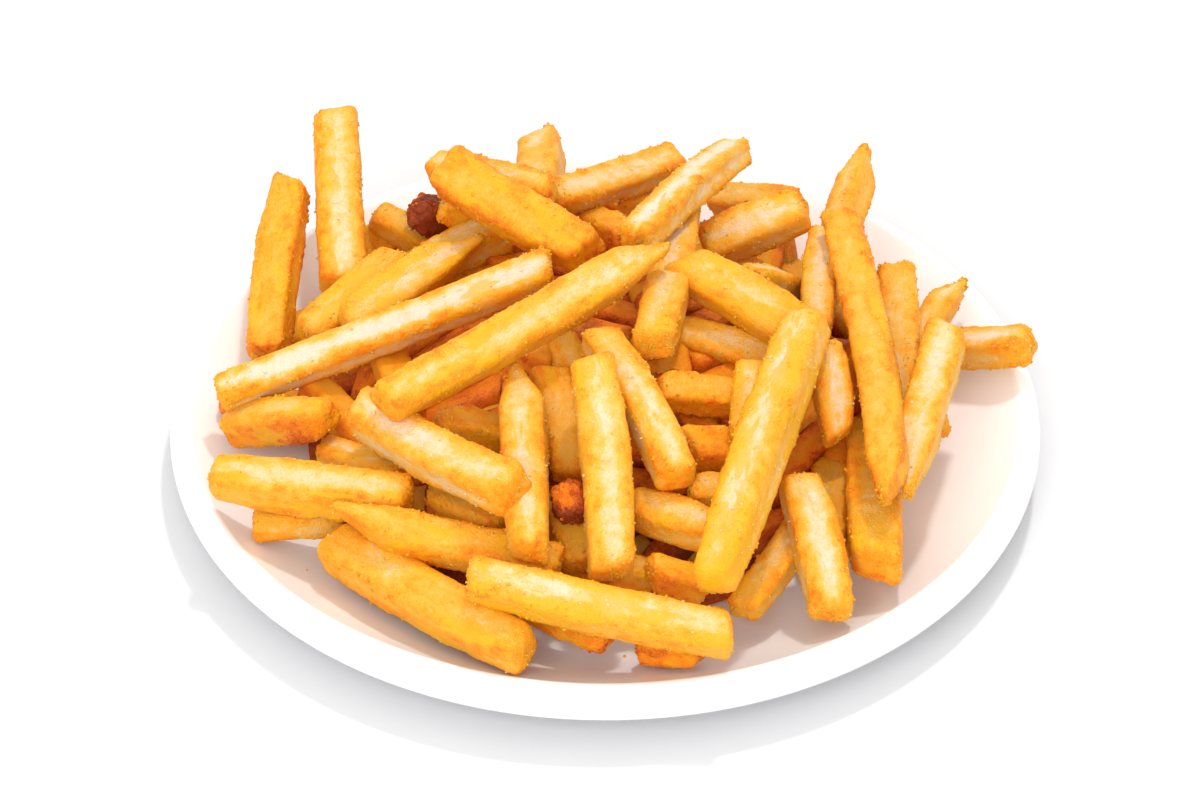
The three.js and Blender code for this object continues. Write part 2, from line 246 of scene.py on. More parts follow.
# From the farthest to the nearest, so that each one lies on those before it
SEEN_FRIES = [
    # Along the back rim
    fry(716, 200, 800, 208, 10, "golden", 20),
    fry(620, 204, 690, 198, 8.5, "pale"),
    fry(584, 222, 628, 240, 9.5, "brown"),
    fry(374, 215, 440, 252, 9.5, "golden", 10),
    fry(412, 210, 448, 222, 9, "dark"),
    fry(441, 206, 524, 244, 9, "golden"),
    fry(512, 226, 400, 284, 11.5, "pale"),
    fry(748, 278, 806, 298, 8.5, "pale"),
    fry(336, 116, 345, 290, 12.2, "pale"),
    fry(544, 132, 540, 206, 11, "golden", 15, "a"),
    fry(838, 240, 814, 300, 8.5, "golden"),
    fry(871, 145, 833, 254, 9.3, "golden", 30, "a"),
    fry(824, 236, 817, 330, 8.5, "pale"),
    # Low on the left
    fry(292, 182, 268, 356, 11.2, "orange", 12),
    fry(306, 338, 398, 258, 12, "yellow", 12),
    fry(322, 452, 405, 478, 9.5, "pale"),
    fry(234, 425, 326, 418, 11, "orange", 8),
    fry(436, 424, 525, 440, 10, "golden"),
    # Low in the middle, between the crossing ones
    fry(560, 335, 578, 405, 8.5, "golden"),
    fry(548, 372, 572, 480, 10, "orange"),
    fry(562, 495, 580, 568, 9.5, "orange"),
    fry(566, 484, 578, 520, 9, "dark", 30),
    fry(664, 330, 780, 364, 10, "golden", 25),
    fry(656, 392, 745, 400, 9.5, "orange", 20),
    fry(682, 448, 750, 447, 10.5, "orange", 25),
    fry(690, 490, 745, 494, 8.5, "golden", 20),
    fry(752, 366, 746, 436, 9, "pale"),
    fry(632, 508, 722, 535, 11, "pale", 10),
    fry(606, 572, 654, 576, 8.5, "golden"),
    fry(650, 572, 705, 588, 9, "orange"),
    fry(430, 498, 500, 530, 9, "orange"),
    # On the right
    fry(947, 420, 874, 430, 8, "golden"),
    fry(938, 350, 1030, 345, 10.6, "cream", 10),
    fry(842, 500, 850, 548, 7, "pale"),
    fry(832, 470, 822, 555, 10.5, "orange"),
    fry(872, 440, 877, 566, 13.2, "orange"),
    fry(960, 280, 905, 370, 8, "golden", 0, "a"),
    fry(897, 272, 891, 446, 11, "pale", 10),
    fry(947, 333, 899, 494, 10.6, "cream", 0, "b"),
    fry(800, 532, 742, 612, 9.2, "pale"),
    # Along the front rim
    fry(640, 648, 700, 652, 8, "orange"),
    fry(520, 598, 612, 634, 10, "orange"),
    fry(254, 522, 345, 518, 9.5, "golden"),
    fry(335, 545, 526, 652, 13.8, "golden", 20),
    fry(212, 477, 410, 500, 13, "golden", 15),
    fry(330, 513, 560, 566, 11.3, "golden", 20, "a"),
    # Crossing on top, back to front
    fry(344, 325, 476, 233, 11.8, "yellow", 24, "b"),
    fry(548, 200, 674, 160, 9.8, "cream", 25),
    fry(434, 166, 552, 192, 10, "golden", 10),
    fry(446, 168, 590, 254, 13, "orange", 30),
    fry(703, 249, 805, 208, 12.2, "pale", 25),
    fry(684, 210, 652, 346, 10.5, "pale"),
    fry(737, 150, 634, 240, 10.4, "cream", 10),
    fry(680, 264, 798, 332, 12.2, "yellow", 30),
    fry(523, 364, 529, 554, 10.2, "pale", 5, "a"),
    fry(360, 412, 515, 492, 12.8, "cream", 20),
    fry(598, 336, 678, 480, 11.3, "pale"),
    fry(592, 360, 612, 575, 11.6, "cream"),
    fry(824, 345, 838, 440, 8.5, "pale"),
    fry(840, 218, 892, 500, 9.6, "orange", 15, "b"),
    fry(798, 478, 832, 614, 10.8, "cream"),
    fry(218, 395, 552, 266, 9.9, "cream", 25),
    fry(383, 404, 667, 240, 11, "golden", 30, "b"),
    fry(468, 577, 732, 636, 11.3, "yellow", 25),
    fry(808, 320, 713, 584, 13, "yellow", 15),
]


def draw(index, key):
    """The same fraction between 0 and 1 for the same two numbers."""
    wave = math.sin((index + SEED) * 12.9898 + key * 78.233) * 43758.5453
    return wave - math.floor(wave)


def mix(low, high, share):
    return low + (high - low) * share


def smooth(share):
    """0 to 1 with level ends, and flat outside them."""
    share = np.clip(share, 0, 1)
    return share * share * (3 - 2 * share)


# Heights that the fries rest on

def plate_top(radius):
    """Height of the plate's upper side at a radius."""
    if radius <= WELL_RADIUS:
        return WELL_TOP
    if radius < WALL_END:
        share = (radius - WELL_RADIUS) / (WALL_END - WELL_RADIUS)
        return WELL_TOP + (ROLL_HEIGHT + ROLL_RADIUS - WELL_TOP) * share ** WALL_CURVE
    out = min(radius - WALL_END, ROLL_RADIUS)
    return ROLL_HEIGHT + math.sqrt(ROLL_RADIUS ** 2 - out ** 2)


def dome_top(x, y):
    """Height of the dome that the fries' axes follow."""
    out = math.hypot(x - HEAP_CENTRE[0], y - HEAP_CENTRE[1]) / HEAP_RADIUS
    return HEAP_EDGE + HEAP_RISE * (1 - out ** 2)


def plate_rest(x, y, side):
    """Lowest height of the axis of a fry at a place on the plate."""
    radius = math.hypot(x, y)
    rest = plate_top(radius + (side * 0.3 if radius < STOP_RADIUS - side else 0)) + side / 2
    if radius > STOP_RADIUS and y > 0:
        stop = plate_top(STOP_RADIUS) + (radius - STOP_RADIUS) * STOP_SLOPE + side / 2
        return max(rest, stop)
    return rest


def dome_rest(x, y, side):
    return max(plate_rest(x, y, side), dome_top(x, y))


# From the view to the heap and back

def seen_point(u, v, depth):
    """The point that the view shows at (u, v), at a depth along the view's axis."""
    across = (u - IMAGE_CENTRE[0]) / VIEW_FOCAL
    rise = (IMAGE_CENTRE[1] - v) / VIEW_FOCAL
    return VIEW_EYE + (VIEW_FORWARD + VIEW_RIGHT * across + VIEW_UPWARD * rise) * depth


def seen_at(point):
    """Where the view shows a point."""
    offset = np.asarray(point) - VIEW_EYE
    scale = VIEW_FOCAL / (offset @ VIEW_FORWARD)
    return (IMAGE_CENTRE[0] + scale * offset[0], IMAGE_CENTRE[1] - scale * (offset @ VIEW_UPWARD))


def depth_onto(rest, u, v, side):
    """The depth at which the line of sight through (u, v) comes down to a resting height."""
    def is_under(depth):
        x, y, z = seen_point(u, v, depth)
        return z < rest(x, y, side)

    near = far = VIEW_DISTANCE - 120 * MM
    while far < VIEW_DISTANCE + 160 * MM and not is_under(far):
        near = far
        far += 2 * MM
    for _ in range(12):
        middle = (near + far) / 2
        if is_under(middle):
            far = middle
        else:
            near = middle
    return near


# How the heap settles

def hidden_fry(index):
    """A fry that the view doesn't show, on a spiral round the heap and across its slope."""
    angle = SPIRAL_TURN * index
    spread = HIDDEN_SPREAD * math.sqrt(1 - (index + 0.5) / HIDDEN_COUNT)
    x = HEAP_CENTRE[0] + spread * math.cos(angle)
    y = HEAP_CENTRE[1] + spread * math.sin(angle)
    side = mix(*HIDDEN_SIDE, draw(index, 1))
    half = mix(*HIDDEN_HALF, draw(index, 2))
    turn = angle + math.pi / 2 + (draw(index, 3) - 0.5) * HIDDEN_SKEW
    ends = []
    for reach in (-half, half):
        end_x = x + reach * math.cos(turn)
        end_y = y + reach * math.sin(turn)
        limit = HIDDEN_FRONT if end_y < 0 else HIDDEN_BACK
        fit = min(1, limit / math.hypot(end_x, end_y))
        end_x, end_y = end_x * fit, end_y * fit
        height = max(plate_rest(end_x, end_y, side), dome_top(end_x, end_y) - HIDDEN_DROP)
        ends.append(seen_at((end_x, end_y, height)))
    roll = (draw(index, 4) - 0.5) * ROLL_SPREAD
    return Fry(ends[0], ends[1], side, roll, "", "under", give=HIDDEN_GIVE)


def contacts_of(fries):
    """Where two fries cross in the view, and how far apart their axes must stay in depth."""
    contacts = []
    point_size = VIEW_DISTANCE / VIEW_FOCAL
    for order, upper in enumerate(fries):
        for lower in fries[:order]:
            du = lower.end[0] - lower.start[0]
            dv = lower.end[1] - lower.start[1]
            reach = (upper.side + lower.side) / 2 * FRY_REACH
            for i in range(SAMPLES + 1):
                share = i / SAMPLES
                u = mix(upper.start[0], upper.end[0], share) - lower.start[0]
                v = mix(upper.start[1], upper.end[1], share) - lower.start[1]
                lower_share = min(1, max(0, (u * du + v * dv) / (du * du + dv * dv)))
                apart = math.hypot(u - du * lower_share, v - dv * lower_share) * point_size
                if apart < reach:
                    lift = max(0, math.sqrt(reach ** 2 - apart ** 2) - PRESS_IN)
                    contacts.append((upper, lower, share, lower_share, lift))
    return contacts


def shift(item, share, amount):
    """Moves a fry by the least amount that shifts the point at this share of its length."""
    item.depths[0] += amount * (1 - share)
    item.depths[1] += amount * share


def leverage(share):
    return (1 - share) ** 2 + share ** 2


def settle(fries):
    """Eases the fries apart where they cut each other or the plate, and draws them to the dome."""
    on_dome = []
    on_plate = []
    for item in fries:
        on_dome.append([depth_onto(dome_rest, *end, item.side) for end in (item.start, item.end)])
        item.depths = list(on_dome[-1])
        limits = []
        for i in range(SAMPLES + 1):
            share = i / SAMPLES
            u = mix(item.start[0], item.end[0], share)
            v = mix(item.start[1], item.end[1], share)
            limits.append((share, depth_onto(plate_rest, u, v, item.side)))
        on_plate.append(limits)
    contacts = contacts_of(fries)
    for turn in range(SETTLE_ROUNDS):
        pull = SETTLE_PULL * (1 - turn / SETTLE_ROUNDS)
        for item, dome in zip(fries, on_dome):
            item.depths[0] += pull * (dome[0] - item.depths[0])
            item.depths[1] += pull * (dome[1] - item.depths[1])
        for upper, lower, share, lower_share, lift in contacts:
            over = mix(*upper.depths, share) - mix(*lower.depths, lower_share) + lift
            if over > 0:
                step = over / (upper.give * leverage(share) + lower.give * leverage(lower_share))
                shift(upper, share, -step * upper.give)
                shift(lower, lower_share, step * lower.give)
        for item, limits in zip(fries, on_plate):
            for share, depth in limits:
                over = mix(*item.depths, share) - depth
                if over > 0:
                    shift(item, share, -over / leverage(share))


def settled_heap():
    """All the fries, in the order that the part has them, at their settled depths."""
    fries = [hidden_fry(index) for index in range(HIDDEN_COUNT)] + SEEN_FRIES
    for index, item in enumerate(fries):
        item.index = index
    settle(fries)
    return fries


def buried_fries():
    """Fries bedded in the core's surface, on a spiral round its middle."""
    fries = []
    for number in range(BURIED_COUNT):
        index = BURIED_INDEX + number
        angle = SPIRAL_TURN * number
        spread = BURIED_SPREAD * math.sqrt((number + 0.5) / BURIED_COUNT)
        side = mix(*BURIED_SIDE, draw(index, 1))
        half = mix(*BURIED_HALF, draw(index, 2))
        turn = math.pi * draw(index, 3)
        ends, depths = [], []
        for reach in (-half, half):
            x = HEAP_CENTRE[0] + spread * math.cos(angle) + reach * math.cos(turn)
            y = HEAP_CENTRE[1] + spread * math.sin(angle) + reach * math.sin(turn)
            fit = min(1, (BURIED_FRONT if y < 0 else BURIED_BACK) / math.hypot(x, y))
            x, y = x * fit, y * fit
            height = max(dome_top(x, y) - CORE_DROP + BURIED_LIFT, WELL_TOP + side / 2)
            ends.append(seen_at((x, y, height)))
            depths.append((np.array((x, y, height)) - VIEW_EYE) @ VIEW_FORWARD)
        roll = (draw(index, 4) - 0.5) * ROLL_SPREAD
        fries.append(Fry(ends[0], ends[1], side, roll, "", "buried", index=index, depths=depths))
    return fries


# Seeded noise on arrays of points, in millimetres

def lattice(cells, seed):
    """A fraction between 0 and 1 for each whole-numbered cell."""
    mixed = cells[..., 0] * 374761393 + cells[..., 1] * 668265263 + cells[..., 2] * 2147483647
    mixed = (mixed + seed * 1274126177) & 0xFFFFFFFF
    mixed = ((mixed ^ (mixed >> 13)) * 1103515245) & 0xFFFFFFFF
    mixed = ((mixed ^ (mixed >> 16)) * 2246822519) & 0xFFFFFFFF
    return ((mixed ^ (mixed >> 13)) & 0xFFFFFF) / 0xFFFFFF


def waves(points, size, seed):
    """Smooth noise between -1 and 1, with bumps about one size across."""
    scaled = points / size
    base = np.floor(scaled).astype(np.int64)
    part = scaled - base
    part = part * part * (3 - 2 * part)
    total = np.zeros(len(points))
    for corner in np.ndindex(2, 2, 2):
        weight = np.ones(len(points))
        for axis in range(3):
            weight *= part[:, axis] if corner[axis] else 1 - part[:, axis]
        total += weight * lattice(base + np.array(corner), seed)
    return total * 2 - 1


def grains(points, size, seed):
    """Round grains, 1 at the middle of each and 0 between them."""
    scaled = points / size
    base = np.floor(scaled).astype(np.int64)
    nearest = np.full(len(points), 9.0)
    for corner in np.ndindex(3, 3, 3):
        cell = base + np.array(corner) - 1
        place = np.stack([lattice(cell, seed + axis) for axis in range(3)], axis=1)
        nearest = np.minimum(nearest, ((cell + place - scaled) ** 2).sum(axis=1))
    return np.clip(1 - nearest * 2.2, 0, 1)


# A fry's mesh

def ring_places(length, rounding, step, cap_rings):
    """Where the rings lie along a fry, and their size: two rounded caps and the stretch between."""
    turns = np.linspace(0.06, 1, cap_rings) * math.pi / 2
    reach = (np.cos(turns) ** 3.4 + np.sin(turns) ** 3.4) ** (-1 / 3.4)
    cap_at = rounding * (1 - reach * np.cos(turns))
    cap_size = reach * np.sin(turns)
    count = max(2, round((length - 2 * rounding) / step))
    middle_at = np.linspace(rounding, length - rounding, count + 1)[1:-1]
    at = np.concatenate([cap_at, middle_at, length - cap_at[::-1]])
    size = np.concatenate([cap_size, np.ones(len(middle_at)), cap_size[::-1]])
    return at, size


def point_taper(distance, side):
    """How far a pointed end has narrowed, from 0 on the full section to 1 at its tip."""
    return 1 - smooth(distance / (side * POINT_REACH))


def surface_normals(grid):
    """Outward normals of a grid of points, with rings along its first axis."""
    round_step = np.roll(grid, -1, axis=1) - np.roll(grid, 1, axis=1)
    along_step = np.gradient(grid, axis=0)
    normals = np.cross(round_step, along_step)
    return normals / np.maximum(np.linalg.norm(normals, axis=2, keepdims=True), 1e-12)


class Rings:
    """The rings of one fry's mesh, round the line from its start to its end, and its random choices."""

    def __init__(self, item):
        self.item = item
        self.rng = np.random.default_rng(FRY_SEED + item.index)
        self.around, step, cap_rings = COARSE_MESHES.get(item.look, FULL_MESH)
        self.start = seen_point(*item.start, item.depths[0])
        end = seen_point(*item.end, item.depths[1])
        self.length = float(np.linalg.norm(end - self.start))
        self.axis = (end - self.start) / self.length
        self.level = np.cross((0, 0, 1), self.axis)
        self.level /= np.linalg.norm(self.level)
        self.raised = np.cross(self.axis, self.level)
        self.at, self.size = ring_places(self.length, item.side * END_ROUNDING, step, cap_rings)
        self.share = self.at / self.length
        self.to_end = np.minimum(self.at, self.length - self.at)
        self.angles = np.linspace(0, 2 * math.pi, self.around, endpoint=False)

    def half_side(self, reach):
        """Half the side of a section that looks as wide as the fry's row says."""
        roll = math.radians(self.item.roll)
        across = math.cos(roll) * self.level + math.sin(roll) * self.raised
        over = math.cos(roll) * self.raised - math.sin(roll) * self.level
        sideways = np.cross(VIEW_FORWARD, self.axis)
        sideways /= np.linalg.norm(sideways)
        parts = np.cos(self.angles) * (across @ sideways) + np.sin(self.angles) * (over @ sideways)
        return self.item.side * FRY_SLIM / 2 / (reach * parts).max()

    def sections(self):
        """Each point's distances from the line, level and raised: rounded squares of changing size."""
        rng = self.rng
        power = rng.uniform(*SQUARENESS)
        cos, sin = np.cos(self.angles), np.sin(self.angles)
        reach = (np.abs(cos) ** power + np.abs(sin) ** power) ** (-1 / power)
        half = self.half_side(reach)
        swell = 1 + mix(*SWELL, draw(self.item.index, 8)) * np.sin(math.pi * self.share)
        taper = rng.uniform(-TAPER, TAPER) * (self.share - 0.5)
        reach_in = min(self.item.side * NARROWING_REACH, self.length * 0.35)
        for distance in (self.at, self.length - self.at):
            swell = swell * (1 - rng.uniform(0, END_NARROWING) * (1 - smooth(distance / reach_in)))
        a = np.outer(self.size * (swell + taper), reach * cos) * half * rng.uniform(*SQUASH_LEVEL)
        b = np.outer(self.size * (swell - taper), reach * sin) * half * rng.uniform(*SQUASH_RAISED)

        # Sunken faces, more in some stretches than others
        face_middle = (0.5 + 0.5 * np.cos(4 * self.angles))[None, :]
        depth = rng.uniform(0, SUNKEN)
        sunken = depth * (0.6 + 0.4 * np.sin(self.share * 5 + rng.uniform(0, 6)))[:, None]
        a *= 1 - sunken * face_middle
        b *= 1 - sunken * face_middle

        # A pointed end narrows mostly from one side
        for name, distance in (("a", self.at), ("b", self.length - self.at)):
            if name in self.item.points:
                narrow = point_taper(distance, self.item.side)[:, None]
                side_sign = 1 if rng.random() < 0.5 else -1
                a = a * (1 - POINT_NARROWING[0] * narrow) + side_sign * POINT_SHIFT * half * narrow
                b = b * (1 - POINT_NARROWING[1] * narrow)
        return a, b

    def bent(self, a, b):
        """Each point's place along the line and in space, with slanted cuts, a bow and a twist."""
        rng = self.rng
        cuts = [(draw(self.item.index, key) - 0.5) * CUT_SLANT for key in (5, 6)]
        extra = [rng.uniform(-EXTRA_SLANT, EXTRA_SLANT) for _ in range(2)]
        slants = mix(*cuts, self.share) + mix(*extra, self.share)
        near_end = np.maximum(1 - self.to_end / (self.item.side * 0.9), 0)
        along = self.at[:, None] + slants[:, None] * a * np.sqrt(near_end)[:, None]
        arch = self.length * np.sin(math.pi * self.share)
        bow = (draw(self.item.index, 7) - 0.5) * BOW * arch
        second_bow = rng.uniform(-SECOND_BOW, SECOND_BOW) * arch
        turn = math.radians(self.item.roll) + rng.uniform(-TWIST, TWIST) * (self.share - 0.5)
        turn = turn[:, None, None]
        across = self.level * np.cos(turn) + self.raised * np.sin(turn)
        over = self.raised * np.cos(turn) - self.level * np.sin(turn)
        grid = self.start + along[..., None] * self.axis
        grid = grid + across * (a + bow[:, None])[..., None] + over * (b + second_bow[:, None])[..., None]
        return along, grid

    def face_browning(self):
        """How much browner than its look each point round the fry is, with each face its own."""
        faces = self.rng.uniform(*FACE_BROWN, 4)
        nearness = [np.clip(np.cos(self.angles - face * math.pi / 2), 0, 1) ** 3 for face in range(4)]
        nearness = np.stack(nearness)
        return (faces[:, None] * nearness).sum(axis=0) / nearness.sum(axis=0)


class Crust:
    """Patterns over a fry's surface, one value for each point, from places in its own space."""

    def __init__(self, rings, places):
        shape = (len(rings.at), rings.around)
        self.slow = waves(places, SLOW_SIZE, 1).reshape(shape)
        self.middle = waves(places, MIDDLE_SIZE, 2).reshape(shape)
        self.fine = waves(places, FINE_SIZE, 3).reshape(shape)
        self.grains = grains(places, FINE_SIZE, 5).reshape(shape)
        self.patchy = np.clip(0.5 + waves(places, PATCH_SIZE, 8).reshape(shape), 0, 1)
        self.corner = (np.abs(np.sin(2 * rings.angles)) ** 3)[None, :] * np.ones(shape)
        self.end_near = np.exp(-rings.to_end / (rings.item.side * 0.22))[:, None] * np.ones(shape)
        self.thick = np.clip(self.corner * 0.9 + self.end_near * 0.8 + 0.12, 0, 1) * self.patchy
        edge = self.corner * (0.85 + 0.4 * self.middle + 0.2 * self.fine) + 0.75 * self.end_near
        self.edge = np.clip(edge, 0, 1)

    def relief(self):
        """How far the crust stands out, in millimetres."""
        waved = SLOW_DEPTH * self.slow + MIDDLE_DEPTH * self.middle
        waved = waved + (FINE_DEPTH + CRUST_DEPTH * self.thick) * self.fine
        return waved + GRAIN_DEPTH * self.thick * self.grains

    def browned_and_shaded(self, brown, normals):
        """A browning, made more on the edges and ends and in patches, with painted shade added on the
        sides.
        """
        brown = brown + 0.06 * self.slow + 0.05 * self.middle
        # Painted shade: faces that turn away from the light above are drawn darker
        brown = brown + SIDE_PAINTED_SHADE * (1 - np.clip(normals[..., 2] * 1.15, 0, 1))
        brown = brown + self.edge * np.maximum(EDGE_BROWN - brown, 0.06)
        return brown + 0.03 * self.fine + 0.05 * self.thick * self.grains


def fry_mesh(item):
    """Points, faces, browning with its painted shade, and texture places of one fry, and the same of its
    crumbs.
    """
    look = LOOKS[item.look]
    coarse = item.look in COARSE_MESHES
    rings = Rings(item)
    rng = rings.rng
    a, b = rings.sections()
    along, grid = rings.bent(a, b)
    places = np.stack([along, a, b], axis=2).reshape(-1, 3) / MM + rng.uniform(0, 500, 3)
    crust = Crust(rings, places)
    relief = crust.relief() * look.crumbly * MM * (COARSE_RELIEF if coarse else 1)
    normals = surface_normals(grid)
    grid = grid + normals * relief[..., None]

    face_brown = rings.face_browning()
    brown = look.brown + rng.uniform(-FRY_BROWN, FRY_BROWN) + face_brown[None, :]
    brown = brown + rng.uniform(-LENGTH_BROWN, LENGTH_BROWN) * (rings.share - 0.5)[:, None]
    brown = crust.browned_and_shaded(brown, normals)

    # The rings, and a middle point for the fan of triangles on each end
    around = rings.around
    points = np.concatenate([grid.reshape(-1, 3), [grid[0].mean(axis=0)], [grid[-1].mean(axis=0)]])
    shades = np.concatenate([brown.reshape(-1), [brown[0].mean()], [brown[-1].mean()]])
    ends = [[places[:around].mean(axis=0)], [places[-around:].mean(axis=0)]]
    places = np.concatenate([places, *ends]) * MM
    body = (points, ring_faces(len(rings.at), around), shades, places)
    if coarse:
        return body, None

    # Crumbs gather where the crust is thickest
    cling = ((crust.edge + 0.07) * crust.patchy).reshape(-1)
    count = round(rings.length / MM * CRUMBS_EACH_MM * rng.uniform(*CRUMB_PLENTY))
    chosen = rng.choice(len(cling), count, p=cling / cling.sum())
    crumb_browns = brown.reshape(-1)[chosen] + rng.uniform(*CRUMB_BROWN, count)
    return body, crumb_mesh(rng, points[chosen], crumb_browns)


# The twelve corners and twenty faces of an icosahedron
GOLDEN = (1 + math.sqrt(5)) / 2
GRAIN_CORNERS = np.array([
    (-1, GOLDEN, 0), (1, GOLDEN, 0), (-1, -GOLDEN, 0), (1, -GOLDEN, 0),
    (0, -1, GOLDEN), (0, 1, GOLDEN), (0, -1, -GOLDEN), (0, 1, -GOLDEN),
    (GOLDEN, 0, -1), (GOLDEN, 0, 1), (-GOLDEN, 0, -1), (-GOLDEN, 0, 1),
]) / math.hypot(1, GOLDEN)
GRAIN_FACES = np.array([
    (0, 11, 5), (0, 5, 1), (0, 1, 7), (0, 7, 10), (0, 10, 11),
    (1, 5, 9), (5, 11, 4), (11, 10, 2), (10, 7, 6), (7, 1, 8),
    (3, 9, 4), (3, 4, 2), (3, 2, 6), (3, 6, 8), (3, 8, 9),
    (4, 9, 5), (2, 4, 11), (6, 2, 10), (8, 6, 7), (9, 8, 1),
])


def crumb_mesh(rng, centres, browns):
    """Small lumpy grains round the given centres, each turned and squashed its own way."""
    count = len(centres)
    turns = np.linalg.qr(rng.normal(size=(count, 3, 3)))[0]
    turns *= np.sign(np.linalg.det(turns))[:, None, None]
    corners = len(GRAIN_CORNERS)
    sizes = CRUMB_SIZE * rng.uniform(*CRUMB_SIZES, (count, 1, 1))
    sizes = sizes * rng.uniform(*CRUMB_LUMPS, (count, corners, 1))
    grains_at = (GRAIN_CORNERS * sizes * CRUMB_SQUASH) @ turns
    points = (grains_at + centres[:, None, :]).reshape(-1, 3)
    faces = (GRAIN_FACES[None] + corners * np.arange(count)[:, None, None]).reshape(-1, 3)
    return points, faces.tolist(), np.repeat(browns, corners), points


def loose_crumbs():
    """A few grains that have dropped on the plate round the heap."""
    rng = np.random.default_rng(LOOSE_SEED)
    angles = rng.uniform(0, 2 * math.pi, LOOSE_CRUMBS)
    radii = rng.uniform(*LOOSE_RADII, LOOSE_CRUMBS)
    heights = [plate_top(radius) + CRUMB_SIZE * 0.5 for radius in radii]
    centres = np.stack([radii * np.cos(angles), radii * np.sin(angles), heights], axis=1)
    return crumb_mesh(rng, centres, rng.uniform(*LOOSE_BROWN, LOOSE_CRUMBS))


def ring_faces(rings, around):
    """Quads between neighbouring rings, and a fan of triangles on each end, facing outwards."""
    k = np.arange(around)
    after = (k + 1) % around
    quads = []
    for ring in range(rings - 1):
        low = ring * around
        high = low + around
        quads.append(np.stack([low + k, low + after, high + after, high + k], axis=1))
    last = (rings - 1) * around
    start_fan = np.stack([np.full(around, rings * around), after, k], axis=1)
    end_fan = np.stack([np.full(around, rings * around + 1), last + k, last + after], axis=1)
    return np.concatenate(quads).tolist() + start_fan.tolist() + end_fan.tolist()


def mesh_piece(name, parts, material):
    """One smooth mesh object from the points, faces, browning with its painted shade, and texture places
    of its parts.
    """
    points, faces, shades, places = [], [], [], []
    count = 0
    for part_points, part_faces, part_shades, part_places in parts:
        points.append(part_points)
        faces.extend([[corner + count for corner in face] for face in part_faces])
        shades.append(part_shades)
        places.append(part_places)
        count += len(part_points)
    mesh = bpy.data.meshes.new(name)
    mesh.from_pydata(np.concatenate(points).tolist(), [], faces)
    # Browning, with the painted shade of the sides, the buried fries and the core, goes to the material
    # as one attribute
    mesh.attributes.new("browning_and_shade", "FLOAT", "POINT").data.foreach_set(
        "value", np.concatenate(shades).astype(np.float32))
    mesh.attributes.new("place", "FLOAT_VECTOR", "POINT").data.foreach_set(
        "vector", np.concatenate(places).astype(np.float32).ravel())
    mesh.polygons.foreach_set("use_smooth", [True] * len(mesh.polygons))
    mesh.materials.append(material)
    mesh.update()
    piece = bpy.data.objects.new(name, mesh)
    bpy.context.scene.collection.objects.link(piece)
    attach(piece, "root")
    return piece


# Materials

class Nodes:
    """A material's node tree, with short calls for what the materials here need."""

    def __init__(self, name):
        self.material = bpy.data.materials.new(name)
        self.material.use_nodes = True
        self.tree = self.material.node_tree
        self.shader = self.tree.nodes["Principled BSDF"]

    def add(self, kind, **settings):
        node = self.tree.nodes.new(kind)
        for key, value in settings.items():
            setattr(node, key, value)
        return node

    def link(self, source, target):
        self.tree.links.new(source, target)

    def set(self, node, **values):
        """Sets a node's inputs, with _ for the spaces in their names."""
        for key, value in values.items():
            node.inputs[key.replace("_", " ")].default_value = value

    def attribute(self, name):
        return self.add("ShaderNodeAttribute", attribute_name=name)

    def noise(self, vector, size, detail=2.0, roughness=0.5, distortion=0.0):
        """Noise with features about one size across."""
        node = self.add("ShaderNodeTexNoise")
        self.set(node, Scale=1 / size, Detail=detail, Roughness=roughness, Distortion=distortion)
        self.link(vector, node.inputs["Vector"])
        return node.outputs["Fac"]

    def math(self, operation, *values):
        node = self.add("ShaderNodeMath", operation=operation)
        for socket, value in zip(node.inputs, values):
            if isinstance(value, (int, float)):
                socket.default_value = value
            else:
                self.link(value, socket)
        return node.outputs[0]

    def step(self, value, low, high):
        """0 below low and 1 above high, and smooth between them."""
        node = self.add("ShaderNodeMapRange", interpolation_type="SMOOTHSTEP")
        self.set(node, From_Min=low, From_Max=high)
        self.link(value, node.inputs["Value"])
        return node.outputs["Result"]

    def ramp(self, value, stops):
        node = self.add("ShaderNodeValToRGB")
        elements = node.color_ramp.elements
        while len(elements) < len(stops):
            elements.new(0.5)
        for element, (position, colour) in zip(elements, stops):
            element.position = position
            element.color = (*colour, 1)
        self.link(value, node.inputs["Fac"])
        return node.outputs["Color"]

    def blend(self, share, colour, other):
        """A colour taken towards a fixed one, other, by a share."""
        node = self.add("ShaderNodeMix", data_type="RGBA")
        self.link(share, node.inputs[0])
        self.link(colour, node.inputs[6])
        node.inputs[7].default_value = (*other, 1)
        return node.outputs[2]

    def bump(self, height, distance, strength, normal=None):
        node = self.add("ShaderNodeBump")
        self.set(node, Strength=strength, Distance=distance)
        self.link(height, node.inputs["Height"])
        if normal is not None:
            self.link(normal, node.inputs["Normal"])
        return node.outputs["Normal"]


# Fried potato from raw and pale to burnt, as linear colours, and its oily patches and dark specks
CRUST_COLOURS = [
    (0.0, (0.80, 0.64, 0.49)),
    (0.16, (0.80, 0.56, 0.28)),
    (0.34, (0.83, 0.45, 0.058)),
    (0.56, (0.87, 0.34, 0.006)),
    (0.74, (0.84, 0.21, 0.003)),
    (0.9, (0.50, 0.08, 0.002)),
    (1.0, (0.24, 0.034, 0.002)),
]
OIL_COLOUR = (0.84, 0.42, 0.004)
SPECK_COLOUR = (0.30, 0.10, 0.02)


